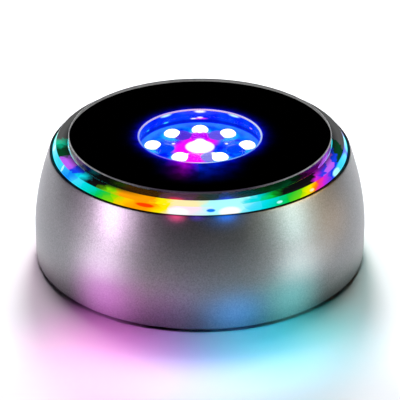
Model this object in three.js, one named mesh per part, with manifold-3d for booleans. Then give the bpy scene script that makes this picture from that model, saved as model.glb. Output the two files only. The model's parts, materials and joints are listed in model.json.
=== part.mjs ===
// Illuminated turntable display stand: a silver barrel-shaped housing with a clear rotating top.
// Millimetres, +Z up, origin on the table under the middle of the stand, front towards -Y.
import * as THREE from 'three';
import { mergeVertices } from 'three/addons/utils/BufferGeometryUtils.js';
import Module from 'manifold-3d';

const wasm = await Module();
wasm.setup();

// ---- driving dimensions -------------------------------------------------------------------
const GAP = 0.3;                 // air left between neighbouring pieces
const FINE = 48;                 // facets round the large visible rings
const MEDIUM = 32;               // facets round the inner rings
const COARSE = 12;               // facets round small turned pieces

const TOP_Z = 39.45;             // upper face of the clear disc
const DISC_R = 39.2;
const DISC_T = 3.1;
const DISC_Z = TOP_Z - DISC_T;
const EDGE_CHAMFER = 0.35;
const LEDGE_Z = 36.95;           // step between the clear disc and its clear ring
const LEDGE_R = 42.85;
const RING_R = 44.05;            // clear ring at its widest
const RING_FLARE_Z = 34.9;
const RING_Z = 33.9;
const RING_IN_R = 38.95;

const WINDOW_R = 18.4;           // round window left free in the black print
const PRINT_T = 0.25;
const PRINT_Z = DISC_Z - 0.05 - PRINT_T;
const WELL_DEPTH = 4.2;          // light well below the print
const WELL_FLOOR_Z = PRINT_Z - WELL_DEPTH;
const WELL_R = 18.6;

const BODY_R = 50;               // housing at its widest
const BODY_WIDEST_Z = 10;
const BODY_BASE_R = 49.5;
const BODY_BASE_Z = 1;
const LIP_R = 44.9;              // housing at its upper lip
const LIP_Z = 34.7;
const LIP_IN_R = 44.4;
const SHOULDER_IN_Z = 31.5;      // below this the inside of the wall widens
const SHOULDER_POWER = 1.77;     // how suddenly the wall turns in towards the lip
const WALL = 2;
const SHOULDER_STEPS = 7;

const COVER_R = BODY_R - WALL - 0.4;
const COVER_Z = BODY_BASE_Z;
const COVER_T = 2;
const COVER_TOP = COVER_Z + COVER_T;
const POST_RADIUS = 42;          // distance of the screw posts from the axis
const POST_R = 3;
const POST_HOLE_R = 1.35;
const POST_ANGLES = [0, 90, 180, 270];
const SCREW_R = 1.15;
const SCREW_HEAD_R = 2.4;
const FOOT_RADIUS = 42;
const FOOT_R = 4.5;
const FOOT_ANGLES = [25, 155, 205, 335];

const CELL_R = 5.25;             // AAA cell
const CELL_L = 44.5;
const CELL_PITCH = 11.2;
const CELL_Z = 8.5;
const BAY_X = 26.3;              // half length of the battery bay
const BAY_FRONT = -36.6;
const BAY_BACK = -2.4;
const BAY_MID = (BAY_FRONT + BAY_BACK) / 2;
const BAY_ROOF_Z = 14.2;
const BAY_WALL = 1.2;
const DOOR_T = 1.6;
const DOOR_GAP = 0.35;
const BOARD_Z = 17;
const BOARD_T = 1.6;

const CHASSIS_Z = 24.5;
const CHASSIS_T = 2;
const CHASSIS_TOP = CHASSIS_Z + CHASSIS_T;
const CHASSIS_R = 44.6;
const TOWER_R = 20;
const HUB_IN_R = 20.4;
const HUB_R = 21.4;
const DECK_Z = 34.8;
const DECK_TOP = PRINT_Z - 0.05;
const WASHER_Z = CHASSIS_TOP + 0.05;
const WASHER_T = 0.65;

const GEAR_MODULE = 1;
const GEAR_TEETH = 48;
const PINION_TEETH = 12;
const PRESSURE = THREE.MathUtils.degToRad(25);
const ADDENDUM = 0.9 * GEAR_MODULE;
const DEDENDUM = 1.25 * GEAR_MODULE;
const BACKLASH = 0.16;
const GEAR_Z = 28;
const GEAR_T = 4.5;
const CENTRE_DISTANCE = GEAR_MODULE * (GEAR_TEETH + PINION_TEETH) / 2 + 0.08;
const SHAFT_R = 1.5;

const LED_R = 2.5;               // 5 mm lamps in the well
const LED_FLANGE_R = 2.9;
const LED_BOARD_Z = 28.05;
const LED_BOARD_T = 1.4;
// Rows of lamps in the well: distance behind the axis, and half the spacing of a pair.
const LED_ROWS = [[11.8, 0], [9.1, 8.4], [1.1, 14.1], [1.6, 0], [-6.9, 5.9]];

const RIM_LAMPS = 16;            // lamps under the clear ring
const RIM_TURN = 1.5;            // degrees the lamp circle is turned by
const RIM_LAMP_RADIUS = 40.9;
const RIM_BOARD_Z = 30.55;
const RIM_BOARD_T = 1.2;
const RIM_BOARD_IN_R = 38.4;
const RIM_BOARD_R = 43.4;
const RIM_LAMP = [4.4, 5, 1.5];
const RIM_POST_ANGLES = [45, 135, 225, 315];

const CONTROL_Z = 9.5;           // height of the inlet and switch in the back wall
const JACK_ANGLE = 122;
const SWITCH_ANGLE = 58;
const SWITCH_TRAVEL = 4;

// ---- colours ------------------------------------------------------------------------------
const finish = (color, roughness, metalness) => ({ color, roughness, metalness });
const SILVER = finish(0x9a9a9f, 0.38, 0.85);
const BLACK_PLASTIC = finish(0x151517, 0.6, 0);
const DARK_PLASTIC = finish(0x2a2a2e, 0.55, 0);
const WHITE_PLASTIC = finish(0xe6e6e2, 0.5, 0);
const RUBBER = finish(0x101010, 0.9, 0);
const CLEAR = finish(0xe9f3f6, 0.05, 0);
const PRINT = finish(0x030303, 0.08, 0);
const STEEL = finish(0xa8a8aa, 0.35, 0.9);
const BRASS = finish(0xb08a3c, 0.35, 0.9);
const BOARD = finish(0x1f5a34, 0.55, 0);
const REFLECTOR = finish(0xd8dcec, 0.2, 0.7);
const LAMP = finish(0xf2f6ff, 0.1, 0);
const CELL = finish(0x2f5f9a, 0.4, 0.3);
const GEAR = finish(0xf0ede2, 0.45, 0);

// ---- geometry helpers ---------------------------------------------------------------------
const rad = THREE.MathUtils.degToRad;

/** Welds a geometry's vertices, drops empty triangles and turns its faces outwards. */
function closed(geometry) {
  const bare = geometry.clone();
  bare.deleteAttribute('normal');
  bare.deleteAttribute('uv');
  const welded = mergeVertices(bare, 1e-4);
  const position = welded.getAttribute('position');
  const all = welded.getIndex().array;
  const kept = [];
  let volume = 0;
  const [a, b, c] = [new THREE.Vector3(), new THREE.Vector3(), new THREE.Vector3()];
  for (let i = 0; i < all.length; i += 3) {
    const [p, q, r] = [all[i], all[i + 1], all[i + 2]];
    if (p === q || q === r || p === r) continue;
    kept.push(p, q, r);
    a.fromBufferAttribute(position, p);
    b.fromBufferAttribute(position, q);
    c.fromBufferAttribute(position, r);
    volume += a.dot(b.cross(c));
  }
  if (volume < 0) kept.reverse();
  welded.setIndex(kept);
  return welded;
}

function toSolid(geometry) {
  const mesh = closed(geometry);
  return new wasm.Manifold(new wasm.Mesh({
    numProp: 3,
    vertProperties: new Float32Array(mesh.getAttribute('position').array),
    triVerts: new Uint32Array(mesh.getIndex().array),
  }));
}

function fromSolid(solid) {
  const { vertProperties, triVerts } = solid.getMesh();
  const geometry = new THREE.BufferGeometry();
  geometry.setAttribute('position', new THREE.BufferAttribute(new Float32Array(vertProperties), 3));
  geometry.setIndex(Array.from(triVerts));
  return geometry;
}

function join(...shapes) {
  return fromSolid(shapes.map(toSolid).reduce((whole, part) => whole.add(part)));
}

function cut(base, ...tools) {
  return fromSolid([base, ...tools].map(toSolid).reduce((whole, tool) => whole.subtract(tool)));
}

/** Solid of revolution about Z from a profile of [radius, z] points that closes on itself. */
function turned(profile, segments = COARSE) {
  const points = [...profile, profile[0]].map(([r, z]) => new THREE.Vector2(r, z));
  return closed(new THREE.LatheGeometry(points, segments).rotateX(Math.PI / 2));
}

function ring(inner, outer, z0, z1, segments = MEDIUM) {
  return turned([[inner, z0], [outer, z0], [outer, z1], [inner, z1]], segments);
}

function disc(radius, z0, z1, segments = COARSE) {
  const flat = new THREE.CylinderGeometry(radius, radius, z1 - z0, segments);
  return closed(flat.rotateX(Math.PI / 2).translate(0, 0, (z0 + z1) / 2));
}

/** Box given by its lowest and highest corners. */
function block([x0, y0, z0], [x1, y1, z1]) {
  const box = new THREE.BoxGeometry(x1 - x0, y1 - y0, z1 - z0);
  return closed(box.translate((x0 + x1) / 2, (y0 + y1) / 2, (z0 + z1) / 2));
}

/** Cylinder along X between two x positions, centred on y = 0 at a height. */
function rod(radius, x0, x1, z, segments = COARSE) {
  const bar = new THREE.CylinderGeometry(radius, radius, x1 - x0, segments);
  return closed(bar.rotateZ(Math.PI / 2).translate((x0 + x1) / 2, 0, z));
}

function around(shape, angle, radius) {
  return shape.clone().translate(radius, 0, 0).rotateZ(rad(angle));
}

/** Outline of an involute spur gear, one tooth pointing along +X; steps run up its flank. */
function gearShape(teeth, steps) {
  const pitchR = GEAR_MODULE * teeth / 2;
  const baseR = pitchR * Math.cos(PRESSURE);
  const rootR = pitchR - DEDENDUM;
  const tipR = pitchR + ADDENDUM;
  const involute = (angle) => Math.tan(angle) - angle;
  const halfAtPitch = Math.PI / (2 * teeth) - BACKLASH / (2 * pitchR);
  const halfAt = (r) => halfAtPitch + involute(PRESSURE) - involute(Math.acos(Math.min(1, baseR / r)));
  const startR = Math.max(baseR, rootR + 0.01);
  const flank = steps.map((t) => startR + t * (tipR - startR)).map((r) => [r, halfAt(r)]);
  const half = [[rootR, halfAt(startR)], ...flank];
  const points = [];
  for (let tooth = 0; tooth < teeth; tooth++) {
    const middle = 2 * Math.PI * tooth / teeth;
    const rising = half.map(([r, angle]) => [r, middle - angle]);
    const falling = half.map(([r, angle]) => [r, middle + angle]).reverse();
    for (const [r, angle] of [...rising, ...falling]) {
      points.push(new THREE.Vector2(r * Math.cos(angle), r * Math.sin(angle)));
    }
  }
  return new THREE.Shape(points);
}

function gear(teeth, boreR, steps) {
  const shape = gearShape(teeth, steps);
  if (boreR > 0) shape.holes.push(new THREE.Path().absarc(0, 0, boreR, 0, 2 * Math.PI, true));
  const options = { depth: GEAR_T, bevelEnabled: false, curveSegments: COARSE };
  return closed(new THREE.ExtrudeGeometry(shape, options).translate(0, 0, GEAR_Z));
}

// ---- assembly -----------------------------------------------------------------------------
const stand = new THREE.Group();

function add(name, geometry, look, parent = stand) {
  const mesh = new THREE.Mesh(geometry, new THREE.MeshStandardMaterial(look));
  mesh.name = name;
  parent.add(mesh);
  return mesh;
}

// ---- housing ------------------------------------------------------------------------------
/** Outer radius of the housing wall at a height above its widest place. */
function shoulderRadius(z) {
  const rise = Math.max(0, (z - BODY_WIDEST_Z) / (LIP_Z - BODY_WIDEST_Z));
  return BODY_R - (BODY_R - LIP_R) * rise ** SHOULDER_POWER;
}

function housingProfile() {
  const outer = [[BODY_BASE_R, BODY_BASE_Z], [BODY_R - 0.1, BODY_BASE_Z + 0.9]];
  const top = LIP_Z - 0.5;
  for (let step = 0; step <= SHOULDER_STEPS; step++) {
    const z = BODY_WIDEST_Z + (top - BODY_WIDEST_Z) * step / SHOULDER_STEPS;
    outer.push([shoulderRadius(z), z]);
  }
  const lip = [[LIP_R - 0.2, LIP_Z], [LIP_IN_R, LIP_Z - 0.1], [LIP_IN_R, SHOULDER_IN_Z]];
  const inner = [22, 14].map((z) => [shoulderRadius(z) - WALL, z]);
  return [...outer, ...lip, ...inner, [BODY_R - WALL, BODY_BASE_Z]];
}

function housingShell() {
  const shell = turned(housingProfile(), FINE);
  const post = disc(POST_R, COVER_TOP + 0.05, CHASSIS_Z - 0.05);
  const web = block([POST_R - 1, -1, COVER_TOP + 0.05], [5, 1, CHASSIS_Z - 3]);
  const hole = disc(POST_HOLE_R, 0, CHASSIS_Z + 1);
  const posts = POST_ANGLES.flatMap((a) => [around(post, a, POST_RADIUS), around(web, a, POST_RADIUS)]);
  const holes = POST_ANGLES.map((a) => around(hole, a, POST_RADIUS));
  const jackHole = rod(4.3, 44, 52, CONTROL_Z).rotateZ(rad(JACK_ANGLE));
  const slot = block([44, -4, CONTROL_Z - 1.9], [52, 4, CONTROL_Z + 1.9]).rotateZ(rad(SWITCH_ANGLE));
  return cut(join(shell, ...posts), ...holes, jackHole, slot);
}

// ---- base ---------------------------------------------------------------------------------
function bottomCover() {
  const plate = disc(COVER_R, COVER_Z, COVER_TOP, FINE);
  const walls = block(
    [-BAY_X - BAY_WALL, BAY_FRONT - BAY_WALL, COVER_Z + 0.5],
    [BAY_X + BAY_WALL, BAY_BACK + BAY_WALL, BAY_ROOF_Z + BAY_WALL]);
  const bay = block([-BAY_X, BAY_FRONT, 0], [BAY_X, BAY_BACK, BAY_ROOF_Z]);
  const standoffs = [[-18, -30], [18, -30], [-18, -8], [18, -8]].map(([x, y]) =>
    disc(1.8, BAY_ROOF_Z, BOARD_Z - 0.05, 8).translate(x, y, 0));
  const footSeat = disc(FOOT_R + GAP, 0, COVER_Z + 0.9);
  const counterbore = disc(SCREW_HEAD_R + GAP, 0, COVER_Z + 1.2);
  const screwHole = disc(SCREW_R + 0.35, 0, COVER_TOP + 1);
  const seats = FOOT_ANGLES.map((a) => around(footSeat, a, FOOT_RADIUS));
  const holes = POST_ANGLES.flatMap((a) =>
    [around(counterbore, a, POST_RADIUS), around(screwHole, a, POST_RADIUS)]);
  return cut(join(plate, walls, ...standoffs), bay, ...seats, ...holes);
}

/** Battery door with its snap tongue; modelled from its hinge line at y = 0 towards -Y. */
function batteryDoor() {
  const length = BAY_BACK - BAY_FRONT - 2 * DOOR_GAP;
  const halfWidth = BAY_X - DOOR_GAP;
  const panel = block([-halfWidth, -length, 0], [halfWidth, 0, DOOR_T]);
  const tongue = block([-3, -length, DOOR_T - 0.5], [3, -length + 0.8, DOOR_T + 2.4]);
  const grip = block([-8, -length + 3, -1], [8, -length + 4.5, 0.5]);
  const grips = [0, 3, 6].map((shift) => grip.clone().translate(0, shift, 0));
  return cut(join(panel, tongue), ...grips);
}

function foot() {
  return turned([[0, 0], [FOOT_R - 0.5, 0], [FOOT_R, 0.5], [FOOT_R, 1.85], [0, 1.85]]);
}

/** Pan-head screw, its head face down at z = 0 and its shank pointing up. */
function screw(length) {
  return turned([
    [0, 0], [SCREW_HEAD_R - 0.3, 0], [SCREW_HEAD_R, 0.3], [SCREW_HEAD_R, 1],
    [SCREW_R, 1], [SCREW_R, length], [0, length]], 10);
}

function crossScrew(length) {
  const slotX = block([-1.6, -0.3, -1], [1.6, 0.3, 0.6]);
  const slotY = block([-0.3, -1.6, -1], [0.3, 1.6, 0.6]);
  return cut(screw(length), join(slotX, slotY));
}

function addBase() {
  add('housing_shell', housingShell(), SILVER);
  add('bottom_cover', bottomCover(), BLACK_PLASTIC);
  add('battery_door', batteryDoor(), BLACK_PLASTIC).position.set(0, BAY_BACK - DOOR_GAP, COVER_Z);
  FOOT_ANGLES.forEach((angle, i) => {
    add(`rubber_foot_${i + 1}`, around(foot(), angle, FOOT_RADIUS), RUBBER);
  });
  POST_ANGLES.forEach((angle, i) => {
    const base = add(`base_screw_${i + 1}`, crossScrew(11), STEEL);
    base.position.set(POST_RADIUS * Math.cos(rad(angle)), POST_RADIUS * Math.sin(rad(angle)), COVER_Z + 0.15);
    const upper = add(`chassis_screw_${i + 1}`, screw(9), STEEL);
    upper.rotation.x = Math.PI;
    upper.position.set(base.position.x, base.position.y, CHASSIS_TOP + 1.05);
  });
}

// ---- batteries and their contacts ---------------------------------------------------------
function cell() {
  const half = CELL_L / 2;
  const profile = [
    [0, -half], [CELL_R - 0.6, -half], [CELL_R, -half + 0.4], [CELL_R, half - 1.5],
    [CELL_R - 0.6, half - 1], [1.9, half - 1], [1.9, half], [0, half]];
  return turned(profile).rotateY(Math.PI / 2);
}

/** Conical contact spring, its coil growing along X. */
class SpringCurve extends THREE.Curve {
  getPoint(t, target = new THREE.Vector3()) {
    const turns = 3;
    const radius = 3.4 - 1.4 * t;
    const angle = 2 * Math.PI * turns * t;
    return target.set(5.1 * t, radius * Math.cos(angle), radius * Math.sin(angle));
  }
}

function spring() {
  const wire = new THREE.Shape().absarc(0, 0, 0.28, 0, 2 * Math.PI);
  const options = { steps: 24, curveSegments: 3, extrudePath: new SpringCurve() };
  return closed(new THREE.ExtrudeGeometry(wire, options));
}

function addBatteries() {
  const endGap = 0.15;
  const plateT = 0.4;
  const plateX = BAY_X - 0.4;
  const cellX = plateX - plateT - endGap - CELL_L / 2;
  for (let i = 0; i < 3; i++) {
    const flipped = i === 1;
    const row = new THREE.Group();
    row.position.set(0, BAY_MID + (i - 1) * CELL_PITCH, CELL_Z);
    row.rotation.z = flipped ? Math.PI : 0;
    stand.add(row);
    add(`battery_${i + 1}`, cell(), CELL, row).position.x = cellX;
    add(`battery_spring_${i + 1}`, spring(), STEEL, row).position.x = -plateX + plateT + 0.35;
  }
  const plate = block([0, BAY_FRONT + 0.8, 4.5], [plateT, BAY_BACK - 0.8, 12.5]);
  add('contact_plate_left', plate, BRASS).position.x = -plateX;
  add('contact_plate_right', plate, BRASS).position.x = plateX - plateT;
}

// ---- electronics --------------------------------------------------------------------------
/** Barrel inlet: block, nose, bore and centre pin, its axis along X. */
function dcJack() {
  const body = block([36.5, -4.5, CONTROL_Z - 5], [46, 4.5, CONTROL_Z + 4.5]);
  const nose = rod(4, 45, 49.6, CONTROL_Z, 24);
  const bore = rod(3.1, 40, 51, CONTROL_Z, 24);
  const pin = rod(1, 39, 48.6, CONTROL_Z, 8);
  return join(cut(join(body, nose), bore), pin);
}

function switchBody() {
  const box = block([40, -6.5, CONTROL_Z - 3.5], [46, 6.5, CONTROL_Z + 3.5]);
  const track = block([43, -4, CONTROL_Z - 1.9], [47, 4, CONTROL_Z + 1.9]);
  return cut(box, track);
}

/** Slider with a ribbed cap, centred on its own travel line. */
function switchKnob() {
  const stem = block([43.4, -1.6, -1.5], [50.9, 1.6, 1.5]);
  const groove = block([50.4, -0.3, -2], [52, 0.3, 2]);
  return cut(stem, groove, groove.clone().translate(0, 1, 0), groove.clone().translate(0, -1, 0));
}

function addElectronics() {
  const boardTop = BOARD_Z + BOARD_T;
  add('main_board', block([-22, -33.5, BOARD_Z], [22, -4.5, boardTop]), BOARD);
  add('control_chip', block([-9, -21, boardTop + 0.05], [-1, -15, boardTop + 1.9]), BLACK_PLASTIC);
  const can = turned([[0, 0], [3, 0], [3, 4], [2.6, 4.4], [0, 4.4]]);
  add('buffer_capacitor', can, STEEL).position.set(10, -24, boardTop + 0.05);
  add('dc_jack', dcJack(), BLACK_PLASTIC).rotation.z = rad(JACK_ANGLE);
  const bay = new THREE.Group();
  bay.rotation.z = rad(SWITCH_ANGLE);
  stand.add(bay);
  add('switch_body', switchBody(), DARK_PLASTIC, bay);
  add('switch_knob', switchKnob(), BLACK_PLASTIC, bay).position.set(0, -SWITCH_TRAVEL / 2, CONTROL_Z);
}

// ---- chassis and drive --------------------------------------------------------------------
function chassisPlate() {
  const plate = disc(CHASSIS_R, CHASSIS_Z, CHASSIS_TOP, FINE);
  const rimPost = disc(1.8, CHASSIS_TOP - 0.5, RIM_BOARD_Z - 0.05, 8);
  const posts = RIM_POST_ANGLES.map((a) => around(rimPost, a, RIM_LAMP_RADIUS));
  const wireHole = disc(4, CHASSIS_Z - 1, CHASSIS_TOP + 1);
  const shaftHole = disc(3.4, CHASSIS_Z - 1, CHASSIS_TOP + 1).translate(0, CENTRE_DISTANCE, 0);
  const screwHole = disc(SCREW_R + 0.35, CHASSIS_Z - 1, CHASSIS_TOP + 1);
  const holes = POST_ANGLES.map((a) => around(screwHole, a, POST_RADIUS));
  return cut(join(plate, ...posts), wireHole, shaftHole, ...holes);
}

function gearboxCase() {
  const box = block([-13, 12, 11], [13, 36.5, CHASSIS_Z - GAP]);
  const boss = disc(3, CHASSIS_Z - 1, CHASSIS_TOP + 0.6).translate(0, CENTRE_DISTANCE, 0);
  const bore = disc(SHAFT_R + 0.2, 17, CHASSIS_TOP + 2, 12).translate(0, CENTRE_DISTANCE, 0);
  return cut(join(box, boss), bore);
}

function motorCan() {
  const can = rod(7.7, 0, 20, 0, 24);
  const flats = [
    block([-1, -10, 6.6], [21, 10, 9]),
    block([-1, -10, -9], [21, 10, -6.6]),
  ];
  const bearing = rod(2.5, 19.5, 21.5, 0, 12);
  return join(cut(can, ...flats), bearing);
}

function drivePinion() {
  const teeth = gear(PINION_TEETH, 0, [0, 0.3, 0.65, 1]).rotateZ(Math.PI / PINION_TEETH);
  const shaft = disc(SHAFT_R, 17.5, GEAR_Z + 1, 12);
  return join(teeth, shaft).translate(0, CENTRE_DISTANCE, 0);
}

function addDrive() {
  add('chassis_plate', chassisPlate(), DARK_PLASTIC);
  add('gearbox_case', gearboxCase(), WHITE_PLASTIC);
  add('motor_can', motorCan(), STEEL).position.set(13.3, 22, 16.4);
  add('drive_pinion', drivePinion(), GEAR);
}

// ---- fixed lights -------------------------------------------------------------------------
function ledTower() {
  const top = PRINT_Z - 0.2;
  return turned([
    [17.2, WASHER_Z], [TOWER_R, WASHER_Z], [TOWER_R, top], [WELL_R, top],
    [WELL_R, LED_BOARD_Z - 0.05], [17.2, LED_BOARD_Z - 0.05]], MEDIUM);
}

function ledPlaces() {
  return LED_ROWS.flatMap(([y, half]) => (half === 0 ? [[0, y]] : [[-half, y], [half, y]]));
}

function reflectorPlate() {
  const edge = WELL_R - 0.15;
  const skirtZ = LED_BOARD_Z + LED_BOARD_T + 0.05;
  const floorZ = WELL_FLOOR_Z - 1.45;
  const plate = turned([
    [0, floorZ], [17.3, floorZ], [17.3, skirtZ], [edge, skirtZ], [edge, WELL_FLOOR_Z],
    [0, WELL_FLOOR_Z]], MEDIUM);
  const hole = disc(LED_R + 0.25, floorZ - 1, WELL_FLOOR_Z + 1, 10);
  return cut(plate, ...ledPlaces().map(([x, y]) => hole.clone().translate(x, y, 0)));
}

/** 5 mm lamp: flange, barrel and dome, its flange on z = 0. */
function wellLed() {
  const baseZ = LED_BOARD_Z + LED_BOARD_T + 0.05;
  const shoulder = WELL_FLOOR_Z - baseZ;
  const dome = [0, 30, 60].map((a) =>
    [LED_R * Math.cos(rad(a)), shoulder + LED_R * Math.sin(rad(a))]);
  const profile = [
    [0, 0], [LED_FLANGE_R, 0], [LED_FLANGE_R, 0.8], [LED_R, 0.8], ...dome, [0, shoulder + LED_R]];
  const led = turned(profile, 10);
  return [led, baseZ];
}

function rimLightBoard() {
  const lampZ = RIM_BOARD_Z + RIM_BOARD_T;
  const [deep, wide, high] = RIM_LAMP;
  const board = ring(RIM_BOARD_IN_R, RIM_BOARD_R, RIM_BOARD_Z, lampZ, MEDIUM);
  const lamp = block([-deep / 2, -wide / 2, lampZ - 0.2], [deep / 2, wide / 2, lampZ + high]);
  const lamps = [];
  for (let i = 0; i < RIM_LAMPS; i++) {
    lamps.push(around(lamp, -90 + RIM_TURN + (i + 0.5) * 360 / RIM_LAMPS, RIM_LAMP_RADIUS));
  }
  return join(board, ...lamps);
}

function addLights() {
  add('led_tower', ledTower(), REFLECTOR);
  add('led_board', disc(WELL_R - GAP, LED_BOARD_Z, LED_BOARD_Z + LED_BOARD_T, MEDIUM), BOARD);
  add('reflector_plate', reflectorPlate(), REFLECTOR);
  const [led, baseZ] = wellLed();
  ledPlaces().forEach(([x, y], i) => {
    add(`well_led_${i + 1}`, led.clone(), LAMP).position.set(x, y, baseZ);
  });
  add('rim_light_board', rimLightBoard(), WHITE_PLASTIC);
}

// ---- rotating top -------------------------------------------------------------------------
function clearDisc() {
  const c = EDGE_CHAMFER;
  return turned([
    [0, DISC_Z], [DISC_R - 0.15, DISC_Z], [DISC_R, DISC_Z + 0.15],
    [DISC_R, TOP_Z - c], [DISC_R - c, TOP_Z], [0, TOP_Z]], FINE);
}

function clearRing() {
  return turned([
    [RING_IN_R, RING_Z], [RING_R, RING_Z], [RING_R, RING_FLARE_Z], [LEDGE_R, LEDGE_Z],
    [DISC_R + 0.2, LEDGE_Z], [DISC_R + 0.2, DECK_TOP], [RING_IN_R, DECK_TOP]], FINE);
}

function turntableCarrier() {
  const rim = RING_IN_R - GAP;
  return turned([
    [HUB_IN_R, WASHER_Z + WASHER_T + 0.05], [HUB_R, WASHER_Z + WASHER_T + 0.05], [HUB_R, DECK_Z],
    [rim, DECK_Z], [rim, DECK_TOP], [HUB_IN_R, DECK_TOP]], MEDIUM);
}

function addTurntable() {
  add('clear_disc', clearDisc(), CLEAR);
  add('clear_ring', clearRing(), CLEAR);
  add('black_print', ring(WINDOW_R, DISC_R - 0.1, PRINT_Z, PRINT_Z + PRINT_T, MEDIUM), PRINT);
  add('turntable_carrier', turntableCarrier(), BLACK_PLASTIC);
  add('ring_gear', gear(GEAR_TEETH, HUB_R + 0.25, [0, 1]), GEAR);
  add('glide_washer', ring(TOWER_R + GAP, 23.5, WASHER_Z, WASHER_Z + WASHER_T, MEDIUM), WHITE_PLASTIC);
}

addBase();
addBatteries();
addElectronics();
addDrive();
addLights();
addTurntable();

export default stand;
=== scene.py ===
"""Lit turntable display stand: materials, smooth shells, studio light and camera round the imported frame."""
import json
import math

import bmesh
import bpy
from mathutils import Matrix, Vector

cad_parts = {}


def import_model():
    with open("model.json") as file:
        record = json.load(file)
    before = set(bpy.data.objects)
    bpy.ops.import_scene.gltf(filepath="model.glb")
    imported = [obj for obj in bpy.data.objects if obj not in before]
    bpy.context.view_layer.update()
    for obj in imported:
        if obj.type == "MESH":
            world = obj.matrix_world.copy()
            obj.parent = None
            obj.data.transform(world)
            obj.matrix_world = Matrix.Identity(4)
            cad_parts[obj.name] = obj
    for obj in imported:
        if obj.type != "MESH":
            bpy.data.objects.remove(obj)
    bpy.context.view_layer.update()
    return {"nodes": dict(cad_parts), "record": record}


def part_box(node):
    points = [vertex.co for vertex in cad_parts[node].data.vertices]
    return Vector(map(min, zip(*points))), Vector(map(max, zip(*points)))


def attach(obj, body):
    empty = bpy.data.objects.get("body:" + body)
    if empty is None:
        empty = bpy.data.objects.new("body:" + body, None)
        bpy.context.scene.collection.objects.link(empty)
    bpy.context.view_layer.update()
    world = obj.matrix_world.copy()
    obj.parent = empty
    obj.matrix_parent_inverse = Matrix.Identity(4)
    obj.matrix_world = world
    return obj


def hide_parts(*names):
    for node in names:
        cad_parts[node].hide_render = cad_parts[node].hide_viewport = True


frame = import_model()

MM = 0.001
TURN = 2 * math.pi
ROUND = 192                       # facets round the large smooth shells
BLACK, WHITE = (0, 0, 0, 1), (1, 1, 1, 1)

# ---- sizes, in millimetres ----------------------------------------------------------------
disc_low, disc_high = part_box("clear_disc")
ring_low, ring_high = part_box("clear_ring")
print_low, print_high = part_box("black_print")
tower_low, tower_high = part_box("led_tower")
DISC_R = disc_high.x / MM
TOP_Z = disc_high.z / MM
DISC_Z = disc_low.z / MM
RING_R = ring_high.x / MM
RING_Z = ring_low.z / MM
RING_IN_R = 38.95
RING_FLARE_Z = 34.9               # the ring's wall leans in from here up
LEDGE_Z = ring_high.z / MM        # flat top of the ring, outside the disc
LEDGE_R = 42.85
PRINT_Z = (print_low.z / MM, print_high.z / MM)
WINDOW_R = 18.1                   # clear window in the black print
FILM_INSET, FILM_RISE = 0.03, 0.06    # the print is bonded this far inside and into the disc
TOWER_R = 20.0
TOWER_Z = (tower_low.z / MM, tower_high.z / MM)
WELL_R = 18.6
WELL_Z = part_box("reflector_plate")[1].z / MM
PLATE = 1.4                       # thickness of the well's floor
PLATE_GAP = 0.15                  # between that floor and the wall
BODY_R = 50.0
BODY_WIDEST_Z = 10.0
BODY_Z = 1.0
LIP_R, LIP_Z, LIP_IN_R = 44.9, 34.7, 44.4
SHOULDER_POWER = 1.77
WALL = 2.0
SKIRT_Z = 31.5                    # foot of the upright inside the lip
CONTROL_Z = 9.5
CONTROL_CUT = (44, 54)            # the openings are cut between these radii
JACK_ANGLE, SWITCH_ANGLE = 122, 58
JACK_HOLE_R = 4.3
SWITCH_HOLE = (8, 3.8)
LED_R = 2.5
LED_NECK = 0.6                    # height of a lamp's straight side over the well's floor
LED_RISE = 1.2                    # height of its domed tip over that
LED_FLANGE = (0.4, 0.8)           # how far its foot stands out, and how high
LAMPS = [(0, 11.8), (-8.4, 9.1), (8.4, 9.1), (-14.1, 1.1), (14.1, 1.1), (0, 1.6), (-5.9, -6.9), (5.9, -6.9)]
MIDDLE_LAMP = LAMPS[5]
PIPS = [(0, 8.3), (-5.5, 8.8), (5.4, 8.8), (-10.6, 0.0), (10.8, -0.4), (-2.5, -6.4), (3.2, -5.8)]
PIP_R = 3.1                       # moulded pips beside the lamps
PIP_H = 1.1

# ---- camera -------------------------------------------------------------------------------
CAMERA_DISTANCE = 0.6062          # metres
CAMERA_ELEVATION = math.radians(27.57)
AIM = Vector((0, 0, 0.01658))
LENS, SENSOR = 180, 36            # millimetres


def colour(code):
    """Linear colour from an sRGB hex code."""
    parts = [int(code[i:i + 2], 16) / 255 for i in (0, 2, 4)]
    linear = [p / 12.92 if p <= 0.04045 else ((p + 0.055) / 1.055) ** 2.4 for p in parts]
    return (*linear, 1)


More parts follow.
